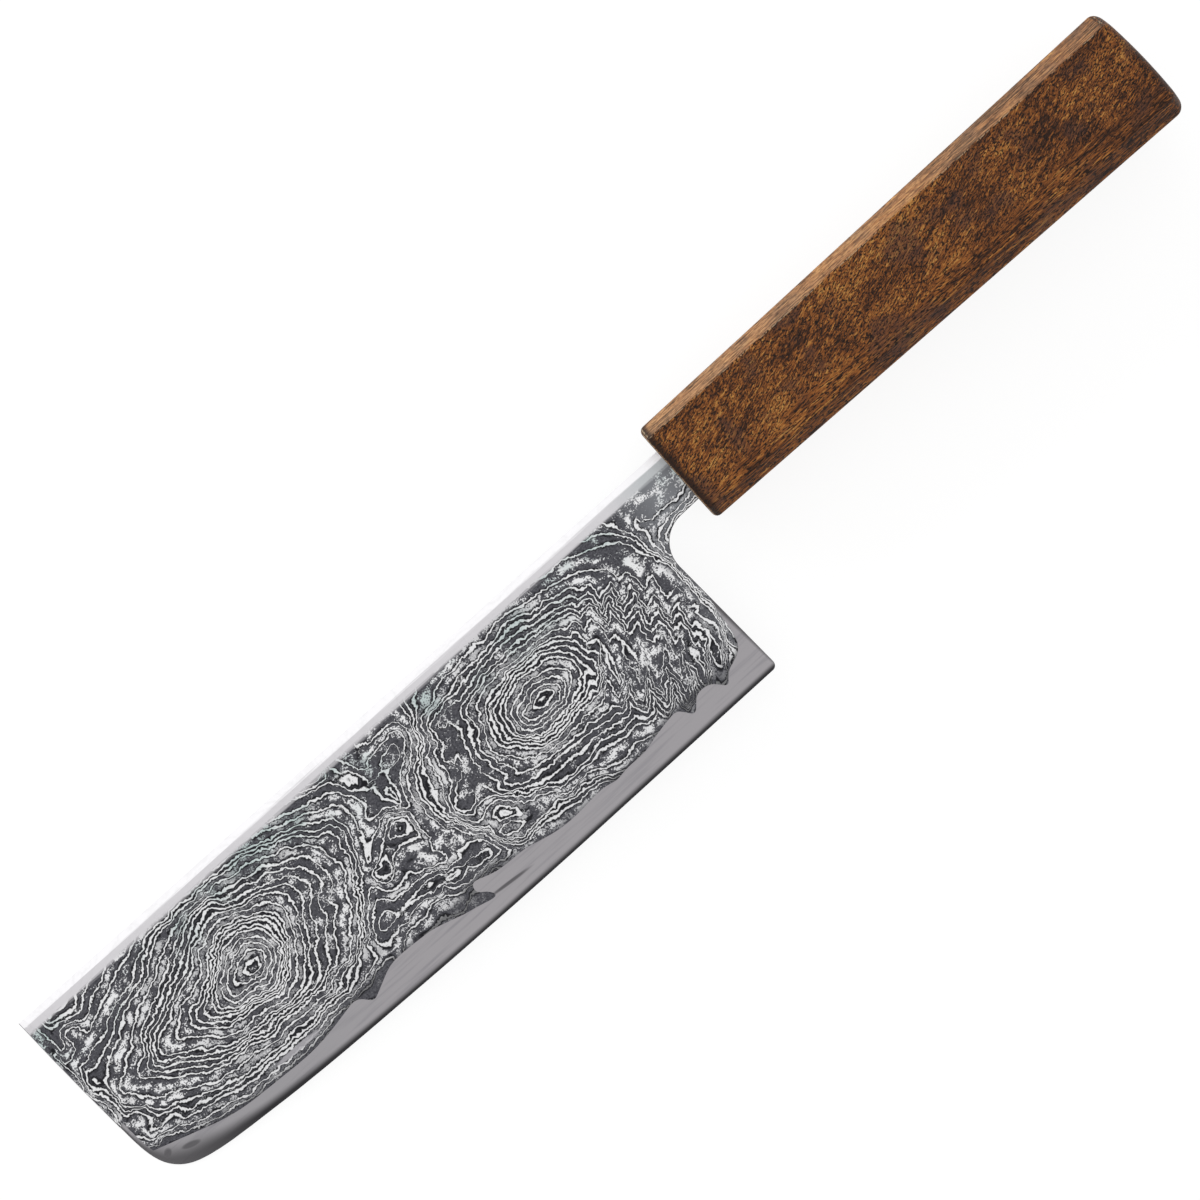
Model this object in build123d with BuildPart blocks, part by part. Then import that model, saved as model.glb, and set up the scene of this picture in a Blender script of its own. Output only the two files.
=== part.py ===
from build123d import *
import math
import os

# Nakiri knife: a three-layer blade with a stick tang bonded into an octagonal wooden handle.
#
# Everything is first made in the knife's own frame, in millimetres. X runs from the toe to the butt and is
# zero at the front face of the handle. Y is zero along the spine and falls towards the edge. Z is zero in the
# middle plane of the blade and rises out of its left face. At the end the knife is laid down on its right
# side, as it rests on a table, and the origin goes to the middle of its footprint.

# Blade outline
blade_length = 165.0  # heel to toe
blade_height = 49.5  # spine to the lowest point of the edge
neck_length = 10.8  # heel to the front of the handle
neck_height = 12.7  # where the neck enters the handle
choil_depth = 13.1  # spine to the corner where the choil turns into the neck
choil_lean = 1.7  # how far the top of the choil stands forward of the heel
choil_radius = 7.2
heel_radius = 1.3

# The edge, from heel to toe: share of the blade's length, share of its height
edge_shares = [
    (0.0, 0.987),
    (0.167, 0.993),
    (0.389, 1.0),
    (0.662, 0.990),
    (0.789, 0.976),
    (0.870, 0.958),
    (0.930, 0.934),
    (0.962, 0.896),
    (0.980, 0.835),
    (0.988, 0.765),
    (0.993, 0.600),
]

# Blade section
stock_thickness = 2.2  # at the heel, on the line where the spine bevel meets the blade face
distal_taper = 0.2  # thickness lost from heel to toe
edge_thickness = 0.5  # behind the edge at the heel
spine_bevel_width = 3.7
spine_bevel_drop = 0.25  # taken off each face at the spine
core_thickness = 0.5
edge_angle = 12.0  # degrees, each side
edge_land = 0.02  # half thickness left at the very edge
easing_angle = 20.0  # degrees, bevel that breaks the edge of toe, choil and neck
easing_land = 0.2  # half thickness left square below that bevel
bevel_reach = 3.0  # how far in from the outline a bevel can run
grinding_allowance = 1.0  # room that every cutter leaves round the steel

# Line where the jackets end above the edge, from toe to heel: share of length, share of height. It swings
# down in teeth where the layers were pressed together, and folds back once. Its first and last points lie
# clear of the toe and the choil.
weld_shares = [
    (1.005, 0.740),
    (0.977, 0.769),
    (0.952, 0.796),
    (0.927, 0.822),
    (0.902, 0.849),
    (0.877, 0.870),
    (0.845, 0.884),
    (0.808, 0.890),
    (0.758, 0.897),
    (0.727, 0.890),
    (0.702, 0.876),
    (0.681, 0.862),
    (0.667, 0.859),
    (0.658, 0.878),
    (0.649, 0.905),
    (0.639, 0.896),
    (0.624, 0.872),
    (0.608, 0.849),
    (0.589, 0.840),
    (0.562, 0.844),
    (0.539, 0.850),
    (0.514, 0.871),
    (0.492, 0.893),
    (0.470, 0.909),
    (0.449, 0.915),
    (0.454, 0.885),
    (0.464, 0.852),
    (0.462, 0.825),
    (0.446, 0.829),
    (0.427, 0.847),
    (0.400, 0.853),
    (0.378, 0.859),
    (0.359, 0.875),
    (0.338, 0.889),
    (0.291, 0.890),
    (0.254, 0.888),
    (0.241, 0.896),
    (0.227, 0.890),
    (0.192, 0.886),
    (0.167, 0.866),
    (0.145, 0.853),
    (0.130, 0.853),
    (0.123, 0.878),
    (0.115, 0.902),
    (0.106, 0.880),
    (0.098, 0.857),
    (0.083, 0.853),
    (0.072, 0.873),
    (0.061, 0.906),
    (0.053, 0.881),
    (0.042, 0.858),
    (0.029, 0.842),
    (0.019, 0.811),
    (0.013, 0.741),
    (0.010, 0.659),
    (0.000, 0.536),
]

# Tang
tang_length = 88.0
tang_tip_height = 6.0
tang_shoulder = 3.0  # length inside the handle before the tang grows narrower
tang_taper = 0.4  # thickness lost from the front of the handle to the tip of the tang
bedding_gap = 0.3  # adhesive all round the tang

# Handle, an octagon whose height lies along Y and whose thickness lies along Z
handle_length = 125.0
handle_drop = 6.2  # spine line to the middle of the handle
front_height = 23.6
butt_height = 26.6
front_thickness = 19.5
butt_thickness = 22.0
front_facet = 2.5  # corner cut off, measured along Y and Z alike
butt_facet = 3.3
ridge_radius = 0.7
front_radius = 1.3
butt_radius = 2.6

heel_x = -neck_length
toe_x = heel_x - blade_length
edge_points = [(heel_x - along * blade_length, -down * blade_height) for along, down in edge_shares]
weld_points = [(heel_x - along * blade_length, -down * blade_height) for along, down in weld_shares]
choil_corner = (heel_x - choil_lean, -choil_depth)
tang_points = [
    (tang_shoulder, 0),
    (tang_length, tang_tip_height / 2 - handle_drop),
    (tang_length, -tang_tip_height / 2 - handle_drop),
    (tang_shoulder, -neck_height),
]

# The ground faces of the left side. Blade and spine face pass through the line that ends the spine bevel, and
# the tang's face falls away from the blade face at the front of the handle.
bevel_line = Vector(heel_x, -spine_bevel_width, stock_thickness / 2)
along_blade = Vector(-blade_length, 0, -distal_taper / 2)
down_face = Vector(0, spine_bevel_width - blade_height, (edge_thickness - stock_thickness) / 2)
up_spine = Vector(0, spine_bevel_width, -spine_bevel_drop)
along_tang = Vector(tang_length, 0, -tang_taper / 2)
blade_face = Plane(origin=bevel_line, x_dir=-along_blade, z_dir=along_blade.cross(down_face))
spine_face = Plane(origin=bevel_line, x_dir=-along_blade, z_dir=up_spine.cross(along_blade))


def ground_height(x, y):
    """Height of the left blade face above the middle plane."""
    normal = blade_face.z_dir
    return bevel_line.Z - ((x - bevel_line.X) * normal.X + (y - bevel_line.Y) * normal.Y) / normal.Z


tang_start = Vector(0, -spine_bevel_width, ground_height(0, -spine_bevel_width))
tang_face = Plane(origin=tang_start, x_dir=along_tang, z_dir=down_face.cross(along_tang))


def bevel_cutter(path, angle, land):
    """A wedge swept along the outline, which grinds the left face down to a land at the given angle."""
    rise = math.tan(math.radians(angle))
    outwards = Vector(0, 0, 1).cross(path % 0)
    with BuildPart() as cutter:
        with BuildSketch(Plane(origin=path @ 0, x_dir=outwards, z_dir=path % 0)):
            with BuildLine():
                Polyline(
                    (grinding_allowance, land - grinding_allowance * rise),
                    (-bevel_reach, land + bevel_reach * rise),
                    (grinding_allowance, land + bevel_reach * rise),
                    close=True,
                )
            make_face()
        sweep(path=path)
    return cutter.part


def octagon_corners(x, height, thickness, facet):
    """The eight corners of the handle's section at a distance from its front face, in order round it."""
    half_height = height / 2
    half_thickness = thickness / 2
    quarter = [(half_height - facet, half_thickness), (half_height, half_thickness - facet)]
    half = quarter + [(y, -z) for y, z in reversed(quarter)]
    return [Vector(x, y - handle_drop, z) for y, z in half + [(-y, -z) for y, z in half]]


with BuildLine() as edge_line:
    Spline(*edge_points)

with BuildLine() as choil_line:
    FilletPolyline(tang_points[-1], choil_corner, edge_points[0], radius=choil_radius)

with BuildLine() as toe_line:
    toe_front = TangentArc(edge_points[-1], (toe_x, 0), tangent=edge_line.line % 1)
    Line(toe_front @ 1, toe_front @ 1 + grinding_allowance * (toe_front % 1))

edge_cutter = bevel_cutter(edge_line.wire(), edge_angle, edge_land)
choil_cutter = bevel_cutter(choil_line.wire(), easing_angle, easing_land)
toe_cutter = bevel_cutter(toe_line.wire(), easing_angle, easing_land)

# Left half of the ground blade, neck and tang, from the middle plane out
with BuildPart() as steel_half:
    with BuildSketch():
        with BuildLine():
            add(edge_line.line)
            add(toe_front)
            Polyline(toe_front @ 1, *tang_points)
            add(choil_line.line)
        make_face()
    extrude(amount=stock_thickness)
    heel_corner = steel_half.edges().filter_by(Axis.Z).sort_by_distance(Vector(*edge_points[0]))[0]
    fillet(heel_corner, heel_radius)
    split(bisect_by=blade_face, keep=Keep.BOTTOM)
    split(bisect_by=spine_face, keep=Keep.BOTTOM)
    split(bisect_by=tang_face, keep=Keep.BOTTOM)
    add(choil_cutter, mode=Mode.SUBTRACT)
    add(toe_cutter, mode=Mode.SUBTRACT)
    add(edge_cutter, mode=Mode.SUBTRACT)

# The jackets lie on the core and end in the wavy weld line above the edge
with BuildPart() as cladding_left:
    add(steel_half.part)
    with BuildSketch(Plane.XY.offset(core_thickness / 2)):
        with BuildLine():
            weld_line = Spline(*weld_points)
            Polyline(
                weld_line @ 1,
                (tang_length + grinding_allowance, weld_points[-1][1]),
                (tang_length + grinding_allowance, grinding_allowance),
                (toe_x - grinding_allowance, grinding_allowance),
                (toe_x - grinding_allowance, weld_points[0][1]),
                weld_line @ 0,
            )
        make_face()
    extrude(amount=stock_thickness, mode=Mode.INTERSECT)

with BuildPart() as cladding_right:
    mirror(cladding_left.part, about=Plane.XY)

with BuildPart() as core_steel:
    add(steel_half.part)
    add(cladding_left.part, mode=Mode.SUBTRACT)
    mirror(about=Plane.XY)

# Slot broached into the handle from its front face, a gap wider than the tang on every side
with BuildPart() as tang_slot:
    with BuildSketch():
        with BuildLine():
            Polyline((0, 0), *tang_points, (0, -neck_height), close=True)
        make_face()
        offset(amount=bedding_gap)
    extrude(amount=stock_thickness / 2 + bedding_gap, both=True)
    split(bisect_by=Plane.YZ, keep=Keep.TOP)

# The handle's blank is planed flat by flat
front_corners = octagon_corners(0, front_height, front_thickness, front_facet)
butt_corners = octagon_corners(handle_length, butt_height, butt_thickness, butt_facet)

with BuildPart() as handle:
    with BuildSketch(Plane.YZ):
        with Locations((-handle_drop, 0)):
            Rectangle(butt_height + grinding_allowance, butt_thickness + grinding_allowance)
    extrude(amount=handle_length)
    for front, side, butt in zip(front_corners, front_corners[1:] + front_corners[:1], butt_corners):
        flat = Plane(origin=front, x_dir=butt - front, z_dir=(butt - front).cross(side - front))
        split(bisect_by=flat, keep=Keep.BOTTOM)
    ends = handle.faces().sort_by(Axis.X)
    fillet(handle.edges() - ends[0].edges() - ends[-1].edges(), ridge_radius)
    fillet(handle.faces().sort_by(Axis.X)[0].edges(), front_radius)
    fillet(handle.faces().sort_by(Axis.X)[-1].edges(), butt_radius)
    add(tang_slot.part, mode=Mode.SUBTRACT)

with BuildPart() as tang_bedding:
    add(tang_slot.part)
    add(core_steel.part, mode=Mode.SUBTRACT)
    add(cladding_left.part, mode=Mode.SUBTRACT)
    add(cladding_right.part, mode=Mode.SUBTRACT)

# The knife lies on its right side on three points: the front of the handle's lower ridge, and the toe at the
# spine bevel and at the end of its edge. Each is taken before its corner is eased.
handle_foot = Vector(0, front_facet - front_height / 2 - handle_drop, -front_thickness / 2)
spine_foot = Vector(toe_x, -spine_bevel_width, -ground_height(toe_x, -spine_bevel_width))
edge_foot = Vector(*edge_points[-1], -ground_height(*edge_points[-1]))
upwards = (spine_foot - handle_foot).cross(edge_foot - handle_foot)
sideways = upwards.cross(Vector(1, 0, 0))
table = Plane(origin=handle_foot, x_dir=sideways.cross(upwards), z_dir=upwards)

pieces = [core_steel, cladding_left, cladding_right, handle, tang_bedding]
footprint = Compound([table.to_local_coords(piece.part) for piece in pieces]).bounding_box()
middle = footprint.center()
seat = Location(Vector(-middle.X, -middle.Y, -footprint.min.Z))
for piece in pieces:
    piece.part = seat * table.to_local_coords(piece.part)

os.makedirs("parts", exist_ok=True)

core_steel.part.label = "core_steel"
export_step(core_steel.part, "parts/core_steel.step")

cladding_left.part.label = "cladding_left"
export_step(cladding_left.part, "parts/cladding_left.step")

cladding_right.part.label = "cladding_right"
export_step(cladding_right.part, "parts/cladding_right.step")

handle.part.label = "handle"
export_step(handle.part, "parts/handle.step")

tang_bedding.part.label = "tang_bedding"
export_step(tang_bedding.part, "parts/tang_bedding.step")
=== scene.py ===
import math

import bpy
import numpy as np
from mathutils import Euler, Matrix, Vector


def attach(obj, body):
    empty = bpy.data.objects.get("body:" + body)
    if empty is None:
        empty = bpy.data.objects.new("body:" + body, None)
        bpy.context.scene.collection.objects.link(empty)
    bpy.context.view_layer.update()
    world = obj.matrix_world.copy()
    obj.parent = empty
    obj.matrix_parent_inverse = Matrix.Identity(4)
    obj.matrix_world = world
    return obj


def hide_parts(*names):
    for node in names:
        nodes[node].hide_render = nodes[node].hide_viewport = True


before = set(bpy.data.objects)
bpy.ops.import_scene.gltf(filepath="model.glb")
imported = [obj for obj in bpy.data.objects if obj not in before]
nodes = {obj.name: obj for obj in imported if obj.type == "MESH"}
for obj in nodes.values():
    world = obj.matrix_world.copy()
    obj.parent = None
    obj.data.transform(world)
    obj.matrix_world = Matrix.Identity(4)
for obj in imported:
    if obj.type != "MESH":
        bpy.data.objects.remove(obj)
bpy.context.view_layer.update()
mm = 0.001

# The knife's own frame: x from the toe to the butt, zero at the handle's front; y zero along the spine and
# falling to the edge; z out of the left face, zero in the middle plane. It lies tilted in the row frame.
placeOfKnife = {"origin": (25.1483, 21.1354, 10.0128), "roll": 1.1919, "dip": -2.9286}  # mm, degrees
knifeTurn = Euler((math.radians(placeOfKnife["roll"]), math.radians(placeOfKnife["dip"]), 0))
# The ways that the handle's two left facets look: the one beside the spine, then the one beside the edge
facetUp, facetDown = (knifeTurn.to_matrix() @ Vector((0, side, 1)).normalized() for side in (1, -1))


def linear(hexColour):
    # sRGB hex to the linear values that Blender's sockets take
    parts = [int(hexColour[i:i + 2], 16) / 255 for i in (1, 3, 5)]
    return (*[c / 12.92 if c <= 0.04045 else ((c + 0.055) / 1.055) ** 2.4 for c in parts], 1)


def emptyTree(owner):
    owner.use_nodes = True
    owner.node_tree.nodes.clear()
    return owner.node_tree


def put(tree, kind, sockets=None, **settings):
    # Adds one shader node; a socket's value is a constant, another node's first output, or an output socket
    node = tree.nodes.new("ShaderNode" + kind)
    for name, value in settings.items():
        setattr(node, name, value)
    for socket, value in (sockets or {}).items():
        if isinstance(value, bpy.types.Node):
            tree.links.new(value.outputs[0], node.inputs[socket])
        elif isinstance(value, bpy.types.NodeSocket):
            tree.links.new(value, node.inputs[socket])
        else:
            node.inputs[socket].default_value = value
    return node


def calc(tree, operation, *values):
    return put(tree, "Math", dict(enumerate(values)), operation=operation)


def fade(tree, value, start, end, least=0.0, most=1.0, way="LINEAR"):
    # Goes from least, where the value is start, to most, where it is end, and stays level beyond them. The
    # dictionaries below write a fade as (start, end) or as (start, end, least, most).
    return put(tree, "MapRange", {"Value": value, "From Min": start, "From Max": end, "To Min": least,
                                  "To Max": most}, interpolation_type=way)


def blend(tree, factor, first, second):
    # The first colour where the factor is 0 and the second where it is 1; each is a hex, a node or a socket
    first, second = (linear(c) if isinstance(c, str) else c for c in (first, second))
    return put(tree, "Mix", {"Factor": factor, 6: first, 7: second}, data_type="RGBA").outputs[2]


def dot(tree, vector, way):
    return put(tree, "VectorMath", {0: vector, 1: way}, operation="DOT_PRODUCT").outputs["Value"]


def noise(tree, place, perMm, detail, roughness=0.5, distortion=0.0):
    # Noise with so many cells in a mm: one number, or one along each axis
    if isinstance(perMm, tuple):
        place, perMm = put(tree, "Mapping", {"Vector": place, "Scale": perMm}), 1.0
    return put(tree, "TexNoise", {"Vector": place, "Scale": perMm, "Detail": detail, "Roughness": roughness,
                                  "Distortion": distortion})


def curveThrough(tree, value, points):
    # The height, over the value, of a curve through the points
    curve = put(tree, "FloatCurve", {"Value": value})
    curve.mapping.use_clip = False
    line = curve.mapping.curves[0]
    line.points[0].location, line.points[1].location = points[0], points[-1]
    for point in points[1:-1]:
        line.points.new(*point)
    curve.mapping.update()
    return curve


def lineAcross(tree, x, points):
    # The same for points in mm, over x
    (low, high), (least, most) = [(min(p[k] for p in points), max(p[k] for p in points)) for k in (0, 1)]
    shares = [((a - low) / (high - low), (b - least) / (most - least)) for a, b in points]
    return fade(tree, curveThrough(tree, fade(tree, x, low, high), shares), 0, 1, least, most)


def spot(tree, place, middle, reach, turn=0.0):
    # An oval, turned by degrees and as deep as the knife: 1 in its middle and 0 from its rim outwards
    inside = put(tree, "Mapping", {"Vector": place, "Location": (*middle, 0), "Scale": (*reach, 100),
                                   "Rotation": (0, 0, math.radians(turn))}, vector_type="TEXTURE")
    return put(tree, "TexGradient", {0: inside}, gradient_type="SPHERICAL")


def newMaterial(name):
    # An empty material with a node that gives each point's place in the knife's own frame, in millimetres
    material = bpy.data.materials.new(name)
    tree = emptyTree(material)
    rowPlace = put(tree, "TexCoord").outputs["Object"]
    origin = [c * mm for c in placeOfKnife["origin"]]
    place = put(tree, "Mapping", {"Vector": rowPlace, "Location": origin, "Rotation": knifeTurn,
                                  "Scale": (mm, mm, mm)}, vector_type="TEXTURE")
    return material, tree, place


def shade(tree, sockets):
    put(tree, "OutputMaterial", {"Surface": put(tree, "BsdfPrincipled", sockets)})


def dress(name, material):
    nodes[name].data.materials.clear()
    nodes[name].data.materials.append(material)


# Where the layers come out on the ground face, as on a map: each drawn line lies at one height in the stack,
# and a smooth sheet is laid over all of them. The lines ring two bosses that the hammer raised, run along
# the toe, the choil and the weld line, and swirl where the two fields meet.
contours = [
    # Boss towards the toe, from its top down
    (16, [(-138.9, -23.6), (-134.8, -21.2), (-131.7, -19.1), (-129.0, -20.0), (-128.2, -23.2),
         (-131.1, -26.1), (-135.2, -25.5), (-138.9, -23.6)]),
    (14, [(-141.6, -23.4), (-138.3, -21.6), (-134.8, -17.9), (-131.1, -17.5), (-126.6, -18.7),
         (-125.3, -22.0), (-127.0, -25.7), (-131.1, -28.1), (-136.9, -27.1), (-140.2, -25.3),
         (-141.6, -23.4)]),
    (11.5, [(-148.6, -23.7), (-146.8, -22.0), (-142.6, -21.2), (-139.3, -17.9), (-135.6, -13.8),
         (-131.7, -13.0), (-126.6, -14.4), (-122.4, -16.5), (-121.2, -19.9), (-122.8, -24.7),
         (-127.0, -29.4), (-131.7, -31.0), (-138.9, -29.8), (-145.1, -27.8), (-147.6, -25.7),
         (-148.6, -23.7)]),
    (9, [(-158.1, -23.7), (-157.1, -21.2), (-153.4, -20.0), (-149.3, -17.9), (-143.5, -15.9),
         (-138.9, -13.0), (-134.8, -10.1), (-130.7, -9.3), (-125.5, -11.8), (-120.4, -13.0),
         (-116.7, -15.4), (-115.8, -19.1), (-117.9, -23.6), (-121.4, -28.7), (-125.5, -32.8),
         (-130.7, -34.1), (-138.9, -33.7), (-146.2, -32.3), (-152.4, -28.8), (-156.5, -26.1),
         (-158.1, -23.7)]),
    (7.5, [(-163.3, -24.3), (-161.3, -22.5), (-158.1, -19.2), (-154.4, -16.9), (-150.3, -15.1),
         (-145.1, -12.4), (-141.0, -9.3), (-136.9, -7.7), (-130.7, -6.9), (-124.5, -8.1), (-120.4, -9.3),
         (-115.2, -10.1), (-110.1, -13.0), (-108.4, -16.7), (-110.5, -22.6), (-114.6, -28.7),
         (-119.3, -33.8), (-124.5, -35.9), (-131.7, -36.1), (-141.0, -35.7), (-150.3, -33.9),
         (-157.5, -30.2), (-161.7, -26.8), (-163.3, -24.3)]),
    (5, [(-173.5, -19.2), (-165.8, -17.5), (-161.7, -14.9), (-156.5, -12.8), (-151.3, -10.8),
         (-146.2, -7.7), (-141.0, -5.6), (-134.8, -4.6), (-128.6, -4.4), (-122.4, -4.8), (-115.2, -5.8),
         (-110.1, -7.7), (-104.9, -10.5), (-101.4, -13.4), (-100.4, -17.9), (-103.5, -23.6),
         (-109.0, -30.8), (-114.2, -35.9), (-119.3, -37.9), (-126.6, -39.0), (-136.9, -40.0),
         (-147.2, -39.2), (-155.5, -37.4), (-161.7, -35.2), (-166.8, -31.9), (-171.0, -26.8),
         (-173.5, -21.2)]),
    # Boss towards the heel
    (16.5, [(-56.3, -23.1), (-52.7, -20.7), (-48.6, -20.3), (-46.5, -22.5), (-48.0, -24.1), (-52.7, -24.8),
         (-56.3, -23.1)]),
    (14.5, [(-57.8, -23.1), (-56.8, -20.3), (-54.3, -18.4), (-50.6, -17.8), (-46.5, -18.2), (-44.3, -19.9),
         (-43.7, -21.9), (-45.3, -24.1), (-48.6, -25.4), (-53.7, -25.8), (-56.3, -25.2), (-57.8, -23.1)]),
    (13, [(-60.4, -21.5), (-58.8, -17.8), (-55.7, -16.0), (-51.0, -15.4), (-46.5, -15.6), (-42.5, -17.4),
         (-40.0, -20.7), (-41.2, -24.1), (-45.1, -26.8), (-50.6, -27.4), (-55.7, -27.2), (-58.8, -25.2),
         (-60.4, -21.5)]),
    (11, [(-64.1, -21.5), (-62.5, -15.8), (-57.8, -13.6), (-51.6, -12.5), (-45.1, -12.5), (-40.4, -13.9),
         (-36.3, -17.0), (-33.9, -21.5), (-34.7, -25.5), (-38.4, -28.0), (-44.1, -29.2), (-50.6, -30.0),
         (-57.8, -29.7), (-62.5, -27.2), (-64.1, -21.5)]),
    (9, [(-42.5, -33.7), (-50.6, -33.1), (-58.8, -32.1), (-64.9, -30.1), (-67.4, -25.6), (-67.4, -21.5),
         (-66.6, -16.4), (-63.3, -12.9), (-57.8, -10.9), (-51.6, -10.1), (-44.5, -10.1), (-38.4, -11.5)]),
    (7.9, [(-42.5, -37.2), (-50.6, -36.6), (-58.8, -35.6), (-66.0, -34.4), (-70.5, -30.7), (-71.5, -22.5),
         (-70.7, -15.4), (-68.6, -11.3), (-64.5, -9.3), (-58.8, -8.1), (-51.6, -7.4), (-44.5, -7.4),
         (-37.4, -8.7)]),
    (6.6, [(-42.5, -40.4), (-50.6, -39.6), (-58.8, -39.2), (-67.0, -38.2), (-74.1, -35.8), (-78.9, -31.7),
         (-80.3, -26.6), (-77.6, -21.5), (-76.8, -17.4), (-74.8, -12.3), (-71.1, -8.3), (-64.9, -6.4),
         (-58.8, -5.4), (-50.6, -5.0), (-42.5, -5.4), (-34.3, -6.6)]),
    # Toe end and spine
    (4.2, [(-173.1, -15.9), (-167.9, -14.3), (-162.7, -12.6), (-157.5, -10.6), (-152.4, -8.3),
         (-147.2, -5.8), (-143.1, -4.2)]),
    (3.2, [(-173.1, -12.6), (-168.3, -11.2), (-163.7, -9.5), (-158.6, -7.5), (-153.8, -5.4),
         (-150.3, -4.2)]),
    (2.2, [(-173.1, -8.9), (-171.6, -8.3)]),
    (3.8, [(-170.2, -7.3), (-168.7, -6.5), (-167.1, -7.3), (-168.5, -8.1), (-170.2, -7.3)]),
    (2, [(-165.4, -7.7), (-161.7, -6.5), (-158.6, -4.8)]),
    (1, [(-173.1, -5.6), (-168.9, -4.6), (-164.8, -4.4)]),
    (4.4, [(-134.8, -3.6), (-128.6, -3.2), (-120.4, -3.6)]),
    (3.6, [(-110.1, -5.0), (-107.0, -5.8), (-104.3, -7.7)]),
    (2.2, [(-176.2, -3.2), (-176.0, -17.5), (-175.5, -30.9), (-174.7, -34.8)]),
    (3.2, [(-174.7, -3.6), (-174.3, -15.5), (-174.3, -20.0), (-173.9, -30.9), (-172.6, -34.2)]),
    (4, [(-172.9, -21.6), (-172.0, -28.8), (-169.5, -33.3), (-164.8, -36.2)]),
    # Swirl between the bosses
    (4.1, [(-108.4, -5.8), (-103.5, -8.3), (-99.8, -10.9), (-97.7, -13.8), (-97.9, -16.6), (-99.8, -20.3),
         (-102.7, -24.8), (-107.0, -30.1), (-111.1, -34.9)]),
    (3.3, [(-107.0, -5.2), (-101.9, -6.8), (-98.2, -9.1), (-95.5, -12.2), (-94.9, -14.6), (-96.7, -17.3),
         (-99.8, -21.1), (-103.5, -26.3), (-107.6, -31.4)]),
    (2.4, [(-104.9, -4.6), (-99.8, -6.0), (-95.9, -7.9), (-93.0, -10.7), (-92.0, -13.4), (-93.6, -15.6),
         (-96.9, -18.7)]),
    (1.4, [(-102.3, -4.0), (-97.7, -5.4), (-93.6, -7.7), (-90.8, -10.9), (-89.5, -13.8), (-89.1, -16.0)]),
    (0.5, [(-96.1, -4.0), (-93.2, -6.0), (-90.6, -8.9), (-88.7, -12.1), (-87.5, -15.0), (-86.2, -17.5)]),
    (1.2, [(-88.7, -11.5), (-84.4, -9.7), (-80.7, -8.7), (-79.7, -9.1), (-80.9, -10.3), (-84.6, -11.5),
         (-87.5, -13.2)]),
    (2.3, [(-88.1, -8.7), (-84.4, -7.0), (-79.3, -6.2), (-77.4, -8.1), (-78.5, -11.1), (-81.7, -13.6),
         (-85.0, -15.4)]),
    (3.2, [(-89.1, -6.4), (-85.0, -5.2), (-79.9, -4.4), (-76.0, -6.8), (-76.8, -11.1), (-80.3, -14.6),
         (-83.6, -16.8)]),
    (4, [(-74.4, -4.6), (-75.0, -8.9), (-77.0, -12.8), (-80.5, -16.0), (-82.6, -18.7), (-83.4, -23.2),
         (-82.8, -27.2), (-80.5, -31.3), (-76.8, -34.4)]),
    (4.9, [(-72.3, -4.6), (-72.9, -9.3), (-75.4, -13.8), (-78.9, -16.8), (-80.5, -19.5), (-81.5, -23.6),
         (-81.5, -27.2), (-79.3, -30.9), (-75.2, -34.4), (-69.0, -36.8), (-62.9, -38.0)]),
    (2.7, [(-84.6, -19.9), (-85.4, -23.6), (-84.8, -27.7), (-82.8, -31.7), (-79.7, -34.6)]),
    (5.1, [(-92.2, -21.7), (-90.1, -21.3), (-88.7, -22.2), (-90.1, -22.8), (-92.2, -21.7)]),
    (4.3, [(-97.3, -24.6), (-95.9, -22.6), (-92.8, -20.7), (-89.5, -20.5), (-87.5, -22.1), (-88.3, -23.6),
         (-91.2, -23.6), (-93.6, -23.2)]),
    (3.3, [(-99.4, -23.6), (-98.2, -21.3), (-95.3, -19.7), (-91.2, -18.9), (-87.9, -19.7), (-86.5, -21.9),
         (-87.1, -24.6)]),
    (2.2, [(-96.5, -18.7), (-92.8, -17.7), (-89.5, -17.7), (-87.3, -19.1), (-85.8, -21.5), (-86.0, -24.4)]),
    (5.2, [(-98.2, -25.6), (-96.9, -25.6), (-96.9, -27.1), (-98.4, -27.3), (-98.2, -25.6)]),
    (4.3, [(-100.6, -25.0), (-100.4, -27.5), (-99.0, -28.7), (-97.3, -27.9), (-95.7, -26.4), (-92.8, -25.6),
         (-89.9, -26.2), (-88.1, -28.1)]),
    (3.5, [(-102.3, -26.3), (-101.6, -29.1), (-99.2, -30.1), (-96.7, -29.1), (-94.9, -27.5), (-92.8, -26.9),
         (-90.3, -27.5)]),
    (4, [(-94.0, -29.9), (-92.0, -29.1), (-89.9, -29.5), (-88.5, -31.1), (-89.3, -32.2), (-91.4, -31.1),
         (-94.0, -29.9)]),
    (3, [(-96.5, -30.5), (-94.0, -28.3), (-90.8, -27.9), (-88.1, -29.3), (-86.9, -31.3), (-86.2, -33.4)]),
    (2.5, [(-103.1, -29.3), (-101.9, -31.4), (-99.0, -32.2), (-96.5, -32.0), (-94.5, -31.8), (-92.0, -32.4),
         (-89.5, -33.6), (-87.1, -34.6)]),
    (1.7, [(-103.1, -32.2), (-99.8, -33.6), (-96.5, -33.4), (-93.6, -33.4), (-90.8, -34.2), (-87.5, -35.6),
         (-83.8, -35.8)]),
    (1.1, [(-106.0, -35.9), (-100.8, -35.2), (-95.7, -35.0), (-92.0, -35.8), (-88.5, -37.3), (-84.4, -37.9),
         (-80.3, -38.3)]),
    (1.9, [(-109.0, -37.9), (-105.6, -37.1), (-100.8, -36.5), (-95.7, -36.5), (-92.0, -37.3),
         (-88.7, -38.9), (-83.8, -39.7), (-79.3, -40.3)]),
    (2.8, [(-110.5, -39.4), (-106.0, -38.5), (-100.8, -37.9), (-96.1, -38.1), (-92.4, -38.9),
         (-89.5, -40.3), (-85.0, -41.1)]),
    # Heel, choil and neck
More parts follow.
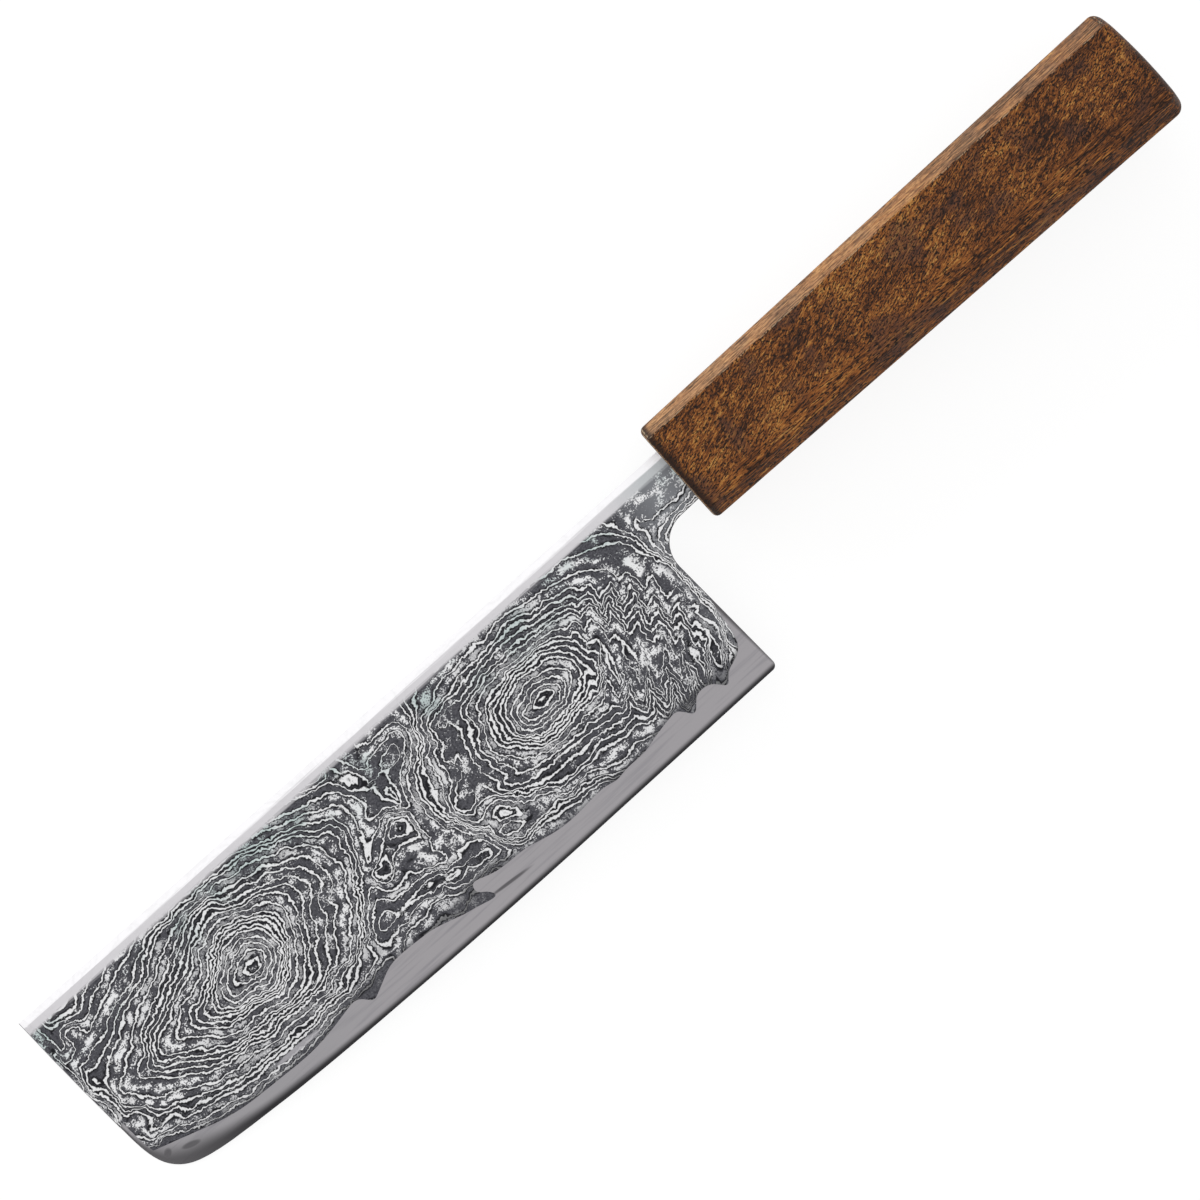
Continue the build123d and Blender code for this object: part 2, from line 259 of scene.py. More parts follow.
    (3.7, [(-173.5, -33.5), (-167.9, -36.6), (-161.7, -38.9), (-155.5, -40.7), (-147.2, -41.7),
         (-136.9, -42.1), (-128.6, -41.4), (-122.4, -40.2), (-119.3, -39.6)]),
    (4.4, [(-71.1, -40.3), (-64.9, -41.3), (-58.8, -41.9)]),
    (5.8, [(-26.1, -6.8), (-20.4, -10.9), (-16.8, -16.6), (-14.7, -23.5), (-14.3, -31.6), (-15.6, -38.7)]),
    (5, [(-19.0, -6.0), (-15.6, -11.3), (-13.5, -17.0), (-12.9, -23.5), (-13.1, -31.6), (-14.5, -37.3)]),
    (3, [(-11.9, -17.0), (-11.7, -21.4), (-11.5, -28.6), (-11.9, -33.6), (-12.9, -38.7)]),
    (0.9, [(-11.1, -14.9), (-7.8, -13.3), (-0.7, -12.1)]),
    (2.9, [(-12.3, -12.9), (-9.4, -11.5), (-5.8, -10.7), (-0.7, -10.5)]),
    (3.4, [(-13.9, -9.2), (-9.9, -7.6), (-0.7, -6.8)]),
    (3.9, [(-17.2, -4.6), (-9.9, -4.2), (-0.7, -3.8)]),
    (1.5, [(-10.3, -18.6), (-9.9, -22.5), (-9.7, -28.6), (-10.1, -33.6), (-11.1, -39.7)]),
    # Weld line
    (1.6, [(-176.6, -36.6), (-172.0, -38.1), (-167.9, -39.4), (-163.7, -40.7), (-159.6, -42.0),
         (-155.5, -43.0), (-150.3, -43.7), (-144.1, -44.0), (-135.8, -44.4), (-130.7, -44.1),
         (-126.6, -43.4), (-123.3, -42.7), (-120.8, -42.5), (-119.3, -43.5), (-117.9, -44.8),
         (-116.3, -44.4), (-113.8, -43.1), (-111.1, -42.0)]),
    (4.4, [(-95.7, -43.1), (-92.0, -44.2), (-88.3, -45.0), (-84.8, -45.3), (-85.6, -43.8), (-87.4, -42.2),
         (-87.1, -40.8), (-84.4, -41.0), (-81.3, -41.9)]),
    (3.6, [(-76.8, -42.2), (-73.1, -42.5), (-70.1, -43.3), (-66.6, -44.0), (-58.8, -44.1), (-52.7, -44.0)]),
    (5.4, [(-48.2, -44.1), (-42.5, -43.9)]),
]
layerSheet = {"along": (-180.0, 6.0), "down": (-52.0, 2.0), "pointSpacing": 2.4, "unit": 20,  # mm
              "give": 0.0008,  # how far the sheet may leave a drawn line, against how hard it bends
              "grid": (150, 46), "heightTerms": 10, "steepnessTerms": 6,  # points, pairs of curves
              "layersPerStep": 2.0}  # real layers in one step of the drawn heights


def thinPlate(squares):
    # Half of r squared times its natural logarithm, the bend of a thin plate pushed at one point
    return 0.5 * squares * np.log(np.maximum(squares, 1e-12))


def spreadAlong(points):
    # Points at an even spacing along a drawn line
    line = np.array(points, float)
    way = np.concatenate([[0], np.cumsum(np.hypot(*np.diff(line, axis=0).T))])
    stops = np.linspace(0, way[-1], max(2, round(way[-1] / layerSheet["pointSpacing"]) + 1))
    return np.column_stack([np.interp(stops, way, line[:, 0]), np.interp(stops, way, line[:, 1])])


def layLayerSheet():
    # The sheet's height is a sum of thin plate bends, one at each drawn point, plus a flat tilt
    unit = layerSheet["unit"]
    lines = [spreadAlong(points) / unit for _, points in contours]
    spots = np.concatenate(lines)
    heights = np.repeat([float(height) for height, _ in contours], [len(line) for line in lines])
    flat = np.column_stack([np.ones(len(spots)), spots])
    pushes = thinPlate(((spots[:, None] - spots) ** 2).sum(2)) + layerSheet["give"] * np.eye(len(spots))
    system = np.block([[pushes, flat], [flat.T, np.zeros((3, 3))]])
    weights = np.linalg.solve(system, np.concatenate([heights * layerSheet["layersPerStep"], np.zeros(3)]))
    xs = np.linspace(*layerSheet["along"], layerSheet["grid"][0])
    ys = np.linspace(*layerSheet["down"], layerSheet["grid"][1])
    x, y = (axis.ravel() / unit for axis in np.meshgrid(xs, ys))
    bends = thinPlate((x[:, None] - spots[:, 0]) ** 2 + (y[:, None] - spots[:, 1]) ** 2)
    sheet = bends @ weights[:-3] + np.column_stack([np.ones(len(x)), x, y]) @ weights[-3:]
    return xs, ys, sheet.reshape(len(ys), len(xs))


def splitIntoCurves(values, terms):
    # A map as a sum of (curve along the blade x curve down it), the few largest terms, for nodes to hold
    down, sizes, along = np.linalg.svd(values, full_matrices=False)
    share = np.sqrt(sizes[:terms])
    return along[:terms] * share[:, None], (down[:, :terms] * share).T


xs, ys, sheet = layLayerSheet()
heightCurves = splitIntoCurves(sheet, layerSheet["heightTerms"])
steepnessCurves = splitIntoCurves(np.hypot(*np.gradient(sheet, ys, xs)), layerSheet["steepnessTerms"])
print(f"layer sheet laid over {len(contours)} lines, height {sheet.min():.1f} to {sheet.max():.1f}")

# Pattern-welded jackets: bright nickel steel and dark carbon steel in turn, ground and etched. The eye sees
# fine bright lines and grainy bright bands between dark bands, and along each line a darker rim where the
# acid bit deeper.
layeredSteel = {"dark": "#39393e", "mottle": "#606065", "rim": "#242427", "neck": "#808286",
                "bright": "#e6e6e7", "tint": "#bfcbca", "roughness": (0.5, 0.3),  # dark, bright
                "relief": 0.02, "reliefStrength": 0.3,  # mm, share
                "neckFade": (-16, -6), "tintFade": (-17, -6),  # x, y in mm
                "clouds": (0.1, 2), "cloudFade": (0.48, 0.62),  # noise: cells per mm, detail, roughness
                "mottling": (2.6, 2, 0.7), "mottleFade": (0.3, 0.7)}
# Noises that move the layers as they wander, jitter and fray: cells per mm, detail, reach in mm
shifts = ((0.19, 1, 1.4), (0.82, 1, 0.53), (2.0, 0, 0.2))
layers = {"lineShare": 0.35, "grainShare": 0.92,  # how often a draw makes a layer a line, or a line or band
          "lineWidth": 0.32, "rimWidth": 0.9, "bandReach": (0.85, 0.45),  # mm
          "lineFade": (0.66, 0.34), "rimFade": (0.6, 0.3),  # of the width
          "lineInLayer": (0.36, 0.2), "bandInLayer": (0.5, 0.36),  # of the layer
          "leastSteep": 0.1, "packed": (0.8, 1.5, 1, 0.25)}  # layers per mm
grains = {"fine": (2.7, 1, 0.7), "coarse": (0.45, 1),  # noise: cells per mm, detail, roughness
          "weights": (0.8, 0.85), "onNeck": 0.03,  # of the two noises; more grain on the neck
          "apart": (0, 0.8, 0.13, 0),  # more grain for the specks, over the steepness
          "bands": (0.785, 0.87), "specks": (0.98, 1.09, 0, 0.9),  # over the grain
          "specksOnRim": (0, 1, 1, 0.5), "worn": (0.25, 0.42, 0.55, 1)}  # over the rim, over the fine noise
# How much of the bright steel shows just above the weld line, and how much more far from it: mm, shares
closing = {"near": (0.1, 1.7, 0.2, 0.9), "far": (1.7, 9, 0, 0.1)}
# The bevel's top colour, near white, is a painted highlight: the reflection of the light along the spine
spineBevelWithHighlight = {"top": "#f6f5f7", "low": "#cfcdd0", "neckLow": "#bec1c3",
              "highlightFade": (-1.85, -1.35), "lowFade": (-4.05, -2.85),  # y in mm
              "scratches": ((0.05, 2.6, 2.6), 3), "scratchReach": 1.2}  # noise, mm
# Where the jackets end above the edge, without the teeth of that line: x, y in mm
weldLine = [(-176, -37), (-168, -39.4), (-160, -42), (-151, -43.7), (-136, -44.4), (-128, -43.6),
            (-121, -42.4), (-109, -41.6), (-99, -42), (-92, -41.8), (-86, -40.8), (-77, -42.2),
            (-67, -43.9), (-51, -44.3), (-42, -43.8), (-34, -42.1), (-24, -42.1), (-17, -42.3),
            (-14, -40), (-12.6, -36)]
# A bright sliver of core steel that lies in the jacket above the edge: mm, degrees
sliver = {"place": ((-136, -41.9), (7.6, 0.8), -1.5), "fade": (0.1, 0.35, 0, 0.85), "colour": "#a8a6aa"}
zigzag = {"middle": (-25.9, -27.7), "reach": (17.4, 19), "full": 0.38,  # mm, share of the way in
          "slant": 60, "pitch": 4.4, "throw": 6.9,  # degrees, mm, mm
          "climb": 0.5, "crowding": 1.35}  # share of the pitch, times the steepness


def scattered(tree, place):
    # The place plus, for each noise, twice its reach times (noise colour - 0.5)
    for perMm, detail, reach in shifts:
        shift = noise(tree, place, perMm, detail).outputs["Color"]
        shift = put(tree, "VectorMath", {0: shift, 1: (0.5, 0.5, 0.5)}, operation="SUBTRACT")
        place = put(tree, "VectorMath", {0: shift, 1: (2 * reach, 2 * reach, 0), 2: place},
                    operation="MULTIPLY_ADD")
    return place


def zigzagThrow(tree, place):
    # Near the heel the layers step in teeth: a zigzag across bands that rise to the butt, times a round mask
    slant, pitch, throw = math.radians(zigzag["slant"]), zigzag["pitch"], zigzag["throw"]
    across = calc(tree, "FRACT", dot(tree, place, (math.sin(slant) / pitch, -math.cos(slant) / pitch, 0)))
    climbing, falling = (fade(tree, across, start, zigzag["climb"]) for start in (0, 1))
    tooth = calc(tree, "MINIMUM", climbing, falling)
    within = fade(tree, spot(tree, place, zigzag["middle"], zigzag["reach"]), 0, zigzag["full"])
    return calc(tree, "MULTIPLY", fade(tree, tooth, 0, 1, -throw / 2, throw / 2), within), within


def mapValue(tree, curves, along, down):
    # Sum over the terms of (curve along the blade x curve down it)
    total = 0.0
    for term in zip(*curves):
        drawn = [np.column_stack([np.linspace(0, 1, len(heights)), heights]).tolist() for heights in term]
        factors = [curveThrough(tree, share, points) for share, points in zip((along, down), drawn)]
        total = calc(tree, "MULTIPLY_ADD", *factors, total)
    return total


def layersAt(tree, place):
    # The sheet's height in layers and its steepness in layers per mm, read where noise and zigzag point
    loose = scattered(tree, place)
    axes = put(tree, "SeparateXYZ", {0: loose})
    throw, stepped = zigzagThrow(tree, loose)
    along = fade(tree, axes.outputs["X"], *layerSheet["along"])
    down = fade(tree, calc(tree, "SUBTRACT", axes.outputs["Y"], throw), *layerSheet["down"])
    crowding = fade(tree, stepped, 0, 1, 1, zigzag["crowding"])
    steep = calc(tree, "MULTIPLY", mapValue(tree, steepnessCurves, along, down), crowding)
    return mapValue(tree, heightCurves, along, down), calc(tree, "MAXIMUM", steep, layers["leastSteep"])


def brightLayers(tree, place, onNeck, seed):
    # Bright = the largest of lines x wear, bands x grain and specks; also gives the rims of the lines.
    # A layer is a whole step of height. Every second one, and a third of the rest, shows as a line, most of
    # the others as a grainy band. Distance from its middle in mm = distance in height / steepness.
    height, steep = layersAt(tree, place)
    layer = calc(tree, "FLOOR", height)
    draw = put(tree, "TexWhiteNoise", {"W": calc(tree, "ADD", layer, seed)}, noise_dimensions="1D")
    even = calc(tree, "LESS_THAN", calc(tree, "FLOORED_MODULO", layer, 2), 0.5)
    line = calc(tree, "MAXIMUM", even, calc(tree, "LESS_THAN", draw, layers["lineShare"]))
    band = calc(tree, "SUBTRACT", calc(tree, "LESS_THAN", draw, layers["grainShare"]), line)
    offMiddle = calc(tree, "ABSOLUTE", calc(tree, "SUBTRACT", calc(tree, "FRACT", height), 0.5))
    distance = calc(tree, "DIVIDE", offMiddle, steep)
    onLine = calc(tree, "DIVIDE", distance, layers["lineWidth"])
    onLine = fade(tree, onLine, *layers["lineFade"], way="SMOOTHSTEP")
    onRim = calc(tree, "DIVIDE", distance, layers["rimWidth"])
    onRim = calc(tree, "MULTIPLY", fade(tree, onRim, *layers["rimFade"], way="SMOOTHSTEP"), line)
    # Where the layers are packed, a line takes half of its layer and the grainy bands close
    onLine = calc(tree, "MULTIPLY", onLine, fade(tree, offMiddle, *layers["lineInLayer"]))
    inBand = fade(tree, offMiddle, *layers["bandInLayer"], way="SMOOTHSTEP")
    inBand = calc(tree, "MULTIPLY", inBand, fade(tree, distance, *layers["bandReach"]))
    # Grain = fine noise + coarse noise, cut hard: low for the grainy bands, high for lone specks, and lower
    # for those where the layers lie far apart
    fine, coarse = (noise(tree, place, *grains[key]) for key in ("fine", "coarse"))
    grain = calc(tree, "ADD", calc(tree, "MULTIPLY", fine, grains["weights"][0]),
                 calc(tree, "MULTIPLY", coarse, grains["weights"][1]))
    grain = calc(tree, "MULTIPLY_ADD", onNeck, grains["onNeck"], grain)
    specks = fade(tree, calc(tree, "ADD", grain, fade(tree, steep, *grains["apart"])), *grains["specks"])
    specks = calc(tree, "MULTIPLY", specks, fade(tree, onRim, *grains["specksOnRim"]))
    lines = calc(tree, "MULTIPLY", calc(tree, "MULTIPLY", onLine, line), fade(tree, fine, *grains["worn"]))
    bands = calc(tree, "MULTIPLY", calc(tree, "MULTIPLY", inBand, band), fade(tree, grain, *grains["bands"]))
    bands = calc(tree, "MULTIPLY", bands, fade(tree, steep, *layers["packed"]))
    return calc(tree, "MAXIMUM", calc(tree, "MAXIMUM", lines, bands), specks), onRim


def etchedColour(tree, place, axes, onNeck, bright, onRim):
    # The bright steel has a green-blue tint in clouds near the spine. The dark steel is mottled at 0.4 mm,
    # and greyer on the neck, which was etched for less time.
    nearSpine = fade(tree, axes.outputs["Y"], *layeredSteel["tintFade"])
    cloud = fade(tree, noise(tree, place, *layeredSteel["clouds"]), *layeredSteel["cloudFade"])
    mottle = fade(tree, noise(tree, place, *layeredSteel["mottling"]), *layeredSteel["mottleFade"])
    dark = blend(tree, mottle, layeredSteel["dark"], layeredSteel["mottle"])
    dark = blend(tree, onNeck, dark, layeredSteel["neck"])
    dark = blend(tree, onRim, dark, layeredSteel["rim"])
    tinted = calc(tree, "MULTIPLY", cloud, nearSpine)
    colour = blend(tree, bright, dark, blend(tree, tinted, layeredSteel["bright"], layeredSteel["tint"]))
    onSliver = fade(tree, spot(tree, place, *sliver["place"]), *sliver["fade"])
    return blend(tree, onSliver, colour, sliver["colour"])


def polishSpineWithHighlight(tree, place, axes, onNeck, colour):
    # The spine bevel was polished after the etch: greyer below, where the pattern fades in, and near white
    # along the spine, a painted highlight for the light it reflects there. Its scratches = noise stretched
    # 50 to 1 along the spine, which spread the fades.
    scratches = calc(tree, "SUBTRACT", noise(tree, place, *spineBevelWithHighlight["scratches"]), 0.5)
    fromSpine = calc(tree, "MULTIPLY_ADD", scratches, spineBevelWithHighlight["scratchReach"], axes.outputs["Y"])
    # top: where the painted highlight along the spine covers the bevel
    top = fade(tree, fromSpine, *spineBevelWithHighlight["highlightFade"], way="SMOOTHSTEP")
    polished = fade(tree, fromSpine, *spineBevelWithHighlight["lowFade"], way="SMOOTHSTEP")
    low = blend(tree, onNeck, spineBevelWithHighlight["low"], spineBevelWithHighlight["neckLow"])
    return blend(tree, polished, colour, blend(tree, top, low, spineBevelWithHighlight["top"]))


def layeredMaterial(name, seed):
    # Colour = dark steel, the bright layers over it, then the polish with a painted highlight along the
    # spine.
    # Bright steel is higher and smoother.
    material, tree, place = newMaterial(name)
    axes = put(tree, "SeparateXYZ", {0: place})
    onNeck = fade(tree, axes.outputs["X"], *layeredSteel["neckFade"])
    bright, onRim = brightLayers(tree, place, onNeck, seed)
    # Pressed thin above the weld line, the layers nearly close there and the band stays dark
    aboveWeld = calc(tree, "SUBTRACT", axes.outputs["Y"], lineAcross(tree, axes.outputs["X"], weldLine))
    spaced = calc(tree, "ADD", fade(tree, aboveWeld, *closing["near"], "SMOOTHSTEP"),
                  fade(tree, aboveWeld, *closing["far"]))
    bright = calc(tree, "MULTIPLY", bright, spaced)
    colour = etchedColour(tree, place, axes, onNeck, bright, onRim)
    shade(tree, {"Base Color": polishSpineWithHighlight(tree, place, axes, onNeck, colour), "Metallic": 1,
                 "Roughness": fade(tree, bright, 0, 1, *layeredSteel["roughness"]),
                 "Normal": put(tree, "Bump", {"Height": bright, "Strength": layeredSteel["reliefStrength"],
                                              "Distance": layeredSteel["relief"] * mm})})
    return material


dress("cladding_left", layeredMaterial("etched pattern-welded steel, left", 3.0))
dress("cladding_right", layeredMaterial("etched pattern-welded steel, right", 40.0))
print("jackets dressed")

# Core: hardened carbon steel, lapped to a plain satin grey. The edge bevel from the stone is darker towards
# the edge, and so is the whole toe.
coreSteel = {"face": "#9e9b9e", "toeFace": "#99979a", "edge": "#343335", "smudge": "#858388",
             "roughness": 0.34, "toeFade": (-108, -146), "toeEdge": (-172, -150, 0.72, 1),  # x, x
             "edgeFade": (1.4, 0.3), "smearFade": (0, 0.6, 0, 0.7),  # of the dark's reach, of the way in
             "smudges": ((0.06, 1.3, 1.3), 3), "smudgeFade": (0.5, 0.75, 0, 0.7)}  # noise
edgeLine = [(-174.6, -29.7), (-173.8, -37.9), (-172.5, -41.3), (-169.5, -44.35), (-164.3, -46.2),
            (-154.4, -47.4), (-141, -48.3), (-120, -49), (-75, -49.5), (-38.4, -49.15),
            (-10.8, -48.86)]  # x, y
darkReach = [(-175, 5), (-166, 4.2), (-155, 2.4), (-145, 1.7), (-120, 1.15), (-10.8, 1.05)]  # x, mm
# Painted shade: a dark band along the heel's end, where the face meets that edge
heelEndShade = {"way": (1, 0.086, 0), "dark": (-15.46, -14.76, 0, 0.75)}  # the way it looks, mm along that
# Dark smears on the core: middle and reach in mm, degrees
smears = [((-170.9, -40.3), (1.8, 1.4), 30), ((-166, -42.1), (3.4, 1), -18), ((-81, -45.4), (7, 0.5), -5)]


def coreMaterial():
    # Colour = face, smudged where a noise stretched 20 to 1 along the edge is high, then the darkest of the
    # edge, a band of painted shade along the heel's end, and three smears
    material, tree, place = newMaterial("lapped core steel")
    axes = put(tree, "SeparateXYZ", {0: place})
    x, y = axes.outputs["X"], axes.outputs["Y"]
    colour = blend(tree, fade(tree, x, *coreSteel["toeFade"]), coreSteel["face"], coreSteel["toeFace"])
    smudged = fade(tree, noise(tree, place, *coreSteel["smudges"]), *coreSteel["smudgeFade"])
    colour = blend(tree, smudged, colour, coreSteel["smudge"])
    fromEdge = calc(tree, "SUBTRACT", y, lineAcross(tree, x, edgeLine))
    fromEdge = calc(tree, "DIVIDE", fromEdge, lineAcross(tree, x, darkReach))
    darkest = calc(tree, "MULTIPLY", fade(tree, fromEdge, *coreSteel["edgeFade"], way="SMOOTHSTEP"),
                   fade(tree, x, *coreSteel["toeEdge"]))
    darkest = calc(tree, "MAXIMUM", darkest, fade(tree, dot(tree, place, heelEndShade["way"]), *heelEndShade["dark"]))
    for smear in smears:
        streak = fade(tree, spot(tree, place, *smear), *coreSteel["smearFade"], "SMOOTHSTEP")
        darkest = calc(tree, "MAXIMUM", darkest, streak)
    shade(tree, {"Base Color": blend(tree, darkest, colour, coreSteel["edge"]), "Metallic": 1,
                 "Roughness": coreSteel["roughness"]})
    return material


dress("core_steel", coreMaterial())
print("core dressed")

# Handle: one octagonal stick, thicker and higher at the butt, with its slot for the tang. The ridges are
# broken with fine paper, the butt is rounded over and slightly domed.
handleShape = {"length": 125.0, "drop": 6.2, "height": (23.6, 26.6), "thickness": (19.5, 22.0),
               "facet": (2.5, 3.3), "ridge": 0.7, "front": 1.3, "butt": 2.6,  # mm
               "dome": 0.0042, "domeMiddle": -10.5, "domeReach": 8}  # per mm, mm, mm
slotShape = {"x": (88.3, 3.0, 0.0), "top": (-2.9, 0.3, 0.3), "bottom": (-9.5, -13.0, -13.0),
             "half": 1.4}  # mm, from its end to its mouth; half of its width
handleMesh = {"wideSide": 9, "narrowSide": 5, "ridge": 6, "flatShare": 0.7,  # points, share of a side's turn
              "front": 6, "rings": 26, "butt": 9, "cap": (0.8, 0.55, 0.3, 0.1)}  # rings, shares of the rim


def handleRing(x, inset):
    # Eight flats set inwards by the inset, joined by arcs of the ridge radius; also each point's side number
    share, ridge, flat = x / handleShape["length"], handleShape["ridge"], handleMesh["flatShare"]
    ends = [handleShape[key] for key in ("height", "thickness", "facet")]
    high, thick, facet = (atFront + (atButt - atFront) * share for atFront, atButt in ends)
    slant = ((high + thick) / 2 - facet) / math.sqrt(2)
    reach = np.array([high / 2, slant, thick / 2, slant] * 2) - inset - ridge
    turn = np.arange(8) * math.pi / 4
    out = np.column_stack([np.cos(turn), np.sin(turn)])
    side = np.column_stack([-np.sin(turn), np.cos(turn)])
    toCorner = (np.roll(reach, -1) - reach * math.cos(math.pi / 4)) / math.sin(math.pi / 4)
    corner = reach[:, None] * out + toCorner[:, None] * side
    ring, sides = [], []
    for k in range(8):
        steps = np.linspace(0, 1, handleMesh["narrowSide" if k % 2 else "wideSide"])
        start, end = (corner[j] + ridge * out[k] for j in (k - 1, k))
        ring.append(start + (end - start) * steps[:, None])
        sides.append(k + (steps - 0.5) * flat)
        bend = np.linspace(0, 1, handleMesh["ridge"])[1:-1]
        angle = turn[k] + bend * math.pi / 4
        ring.append(corner[k] + ridge * np.column_stack([np.cos(angle), np.sin(angle)]))
        sides.append(k + flat / 2 + bend * (1 - flat))
    return np.concatenate(ring) - (handleShape["drop"], 0), np.concatenate(sides)


def slotRing(top, bottom, sides):
    # The slot's four walls, met by the handle's sides in order round it
    corners = np.arange(-1, 10, 2)
    y = np.interp(sides, corners, (top, top, bottom, bottom, top, top))
    z = np.interp(sides, corners, np.array((-1, 1, 1, -1, -1, 1)) * slotShape["half"])
    return np.column_stack([y, z])


def makeHandle():
    # Rings from the slot's end to its mouth, out over the front edge, along the stick, round the butt and
    # in to its middle; then the butt end drops by the dome times the square of the distance from its middle
    length, front, butt = handleShape["length"], handleShape["front"], handleShape["butt"]
    sides = handleRing(0, 0)[1]
    rings = [np.column_stack([np.full(len(sides), x), slotRing(top, bottom, sides)])
             for x, top, bottom in zip(slotShape["x"], slotShape["top"], slotShape["bottom"])]
    frontBend, buttBend = (np.linspace(0, math.pi / 2, handleMesh[key]) for key in ("front", "butt"))
    stations = [(front - front * math.cos(b), front - front * math.sin(b)) for b in frontBend]
    stations += [(x, 0) for x in np.linspace(front, length - butt, handleMesh["rings"])[1:-1]]
    stations += [(length - butt + butt * math.sin(b), butt - butt * math.cos(b)) for b in buttBend]
    rings += [np.column_stack([np.full(len(sides), x), handleRing(x, inset)[0]]) for x, inset in stations]
    rim, middle = rings[-1], (handleShape["drop"], 0)
    rings += [np.column_stack([rim[:, 0], (rim[:, 1:] + middle) * share - middle])
              for share in handleMesh["cap"]]
    count, around = len(rings), len(sides)
    points = np.concatenate(rings + [[(rings[0][0, 0], rings[0][:, 1].mean(), 0), (length, -middle[0], 0)]])
    reach = butt + handleShape["domeReach"]
    near = np.clip((points[:, 0] - length + reach) / reach, 0, 1) ** 2
    fromMiddle = (points[:, 1] - handleShape["domeMiddle"]) ** 2 + points[:, 2] ** 2
    points[:, 0] -= near * handleShape["dome"] * fromMiddle
    points = points @ np.array(knifeTurn.to_matrix()).T + placeOfKnife["origin"]
    here = np.arange(around)
    after = (here + 1) % around
    first = np.arange(count - 1)[:, None] * around
    quads = np.stack([first + here, first + after, first + around + after, first + around + here], 2)
    bottom = np.column_stack([np.full(around, count * around), after, here])
    top = np.column_stack([np.full(around, count * around + 1), here, after])
    top[:, 1:] += (count - 1) * around
    corners = np.concatenate([quads.ravel(), bottom.ravel(), top.ravel()])
    sizes = np.concatenate([np.full(quads.size // 4, 4), np.full(2 * around, 3)])
    mesh = bpy.data.meshes.new("handle shaped")
    mesh.vertices.add(len(points))
    mesh.vertices.foreach_set("co", (points * mm).ravel())
    mesh.loops.add(len(corners))
    mesh.loops.foreach_set("vertex_index", corners.astype(np.int32))
    mesh.polygons.add(len(sizes))
    mesh.polygons.foreach_set("loop_start", (np.cumsum(sizes) - sizes).astype(np.int32))
    mesh.polygons.foreach_set("use_smooth", np.ones(len(sizes), bool))
    mesh.update(calc_edges=True)
    mesh.validate()
    piece = bpy.data.objects.new("handle_shaped", mesh)
    bpy.context.scene.collection.objects.link(piece)
    piece.modifiers.new("flats stay flat", "WEIGHTED_NORMAL").weight = 100
    return piece


handle = makeHandle()
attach(handle, "root")
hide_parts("handle")
print("handle shaped:", len(handle.data.polygons), "faces")

# Desert ironwood, sanded fine and oiled: heavy, close wood, brown with orange and purplish patches. The
# figure climbs across the stick, and the grain runs straight along its lower part and along its upper facet.
# The upper facet's paler colour is a painted highlight and the lower facet's darker tone painted shade; the
# palest colour paints glints along the front edge and the ridge below the upper facet.
ironwood = {"deep": "#28160c", "dark": "#4a2a15", "middle": "#704120", "orange": "#965a28",
            "straw": "#bd8a48", "purple": "#4a332c", "facet": "#c39a72", "pore": "#150c07",
            "paintedGlint": "#c2ab8c", "roughness": 0.42, "specular": 0.15,
            "relief": 0.12, "reliefStrength": 0.5,  # mm, share
            "figureAngle": 18, "straightBelow": (-7.2, -9.2), "lineWander": 8.0}  # degrees, y, mm
stops = ((0.395, "deep"), (0.443, "dark"), (0.483, "middle"), (0.535, "orange"), (0.6, "straw"))  # tone
# The last weight darkens the lower facet, a painted shade
toneWeights = {"patch": 0.2, "figure": 0.22, "fine": 0.58, "lowerFacetShade": -0.016}
towardsButt = {"tone": (65, 115, 0, -0.022), "end": (122, 124.8, 0, 0.55)}  # x, darker tone; x, end grain and painted shade where the butt rounds over
# Each noise: cells per mm along x, y and z, detail, roughness, distortion. Where there are two, the first is
# for the slanting figure and the second for the straight grain.
woodNoise = {"patch": ((0.07, 0.13, 0.13), 2, 0.6, 0.5),
             "figure": (((0.1, 0.85, 0.6), 3, 0.6, 0.5), ((0.06, 0.95, 0.8), 3, 0.6)),
             "fine": (((0.6, 3.2, 3.2), 3, 0.75, 0.6), ((0.2, 3.6, 3.6), 3, 0.75)),
             "pores": (((1.7, 3.4, 3.4), 1, 0.6), ((0.9, 3.4, 3.4), 1, 0.6)),
             "wander": ((0.08, 0.1, 0.1), 1, 0.6), "cloud": ((0.13, 0.16, 0.16), 1, 0.6),
             "glintBreakup": ((0.25, 1.5, 1.5), 2, 0.6)}
woodFades = {"cloud": (0.54, 0.66, 0, 0.5), "paintedFacetSheen": (0.36, 0.6, 0.1, 1), "glintBreakup": (0.42, 0.56, 0, 0.6),
             "pores": (0.5, 0.61, 0, 0.95)}  # over each noise
# How squarely a face looks the way of a facet: where that facet starts and is full, where the lower facet's
# painted shade starts and is full, and the ridge below the upper facet, which gets a painted glint. The
# facet's paleness, a painted highlight, falls from the front to the butt, and its pores show less.
facing = {"facet": (0.93, 0.985), "lowerFacetShade": (0.88, 0.97),
          "ridgeStart": (0.74, 0.82), "ridgeEnd": (0.95, 0.88),
          "paintedFacetSheen": (0, handleShape["length"], 0.7, 0.33), "pores": (0, 1, 1, 0.45)}
frontBand = {"reach": 4,  # mm from the front; below, shares of that, and how dark it is and how strong its painted highlight is there
             "dark": [(0, 0.5), (0.07, 0.4), (0.12, 0.95), (0.3, 0.85), (0.5, 0.25), (0.7, 0), (1, 0)],
             "paintedGlintMask": [(0, 0), (0.01, 0), (0.025, 0.55), (0.05, 0.5), (0.09, 0), (1, 0)]}


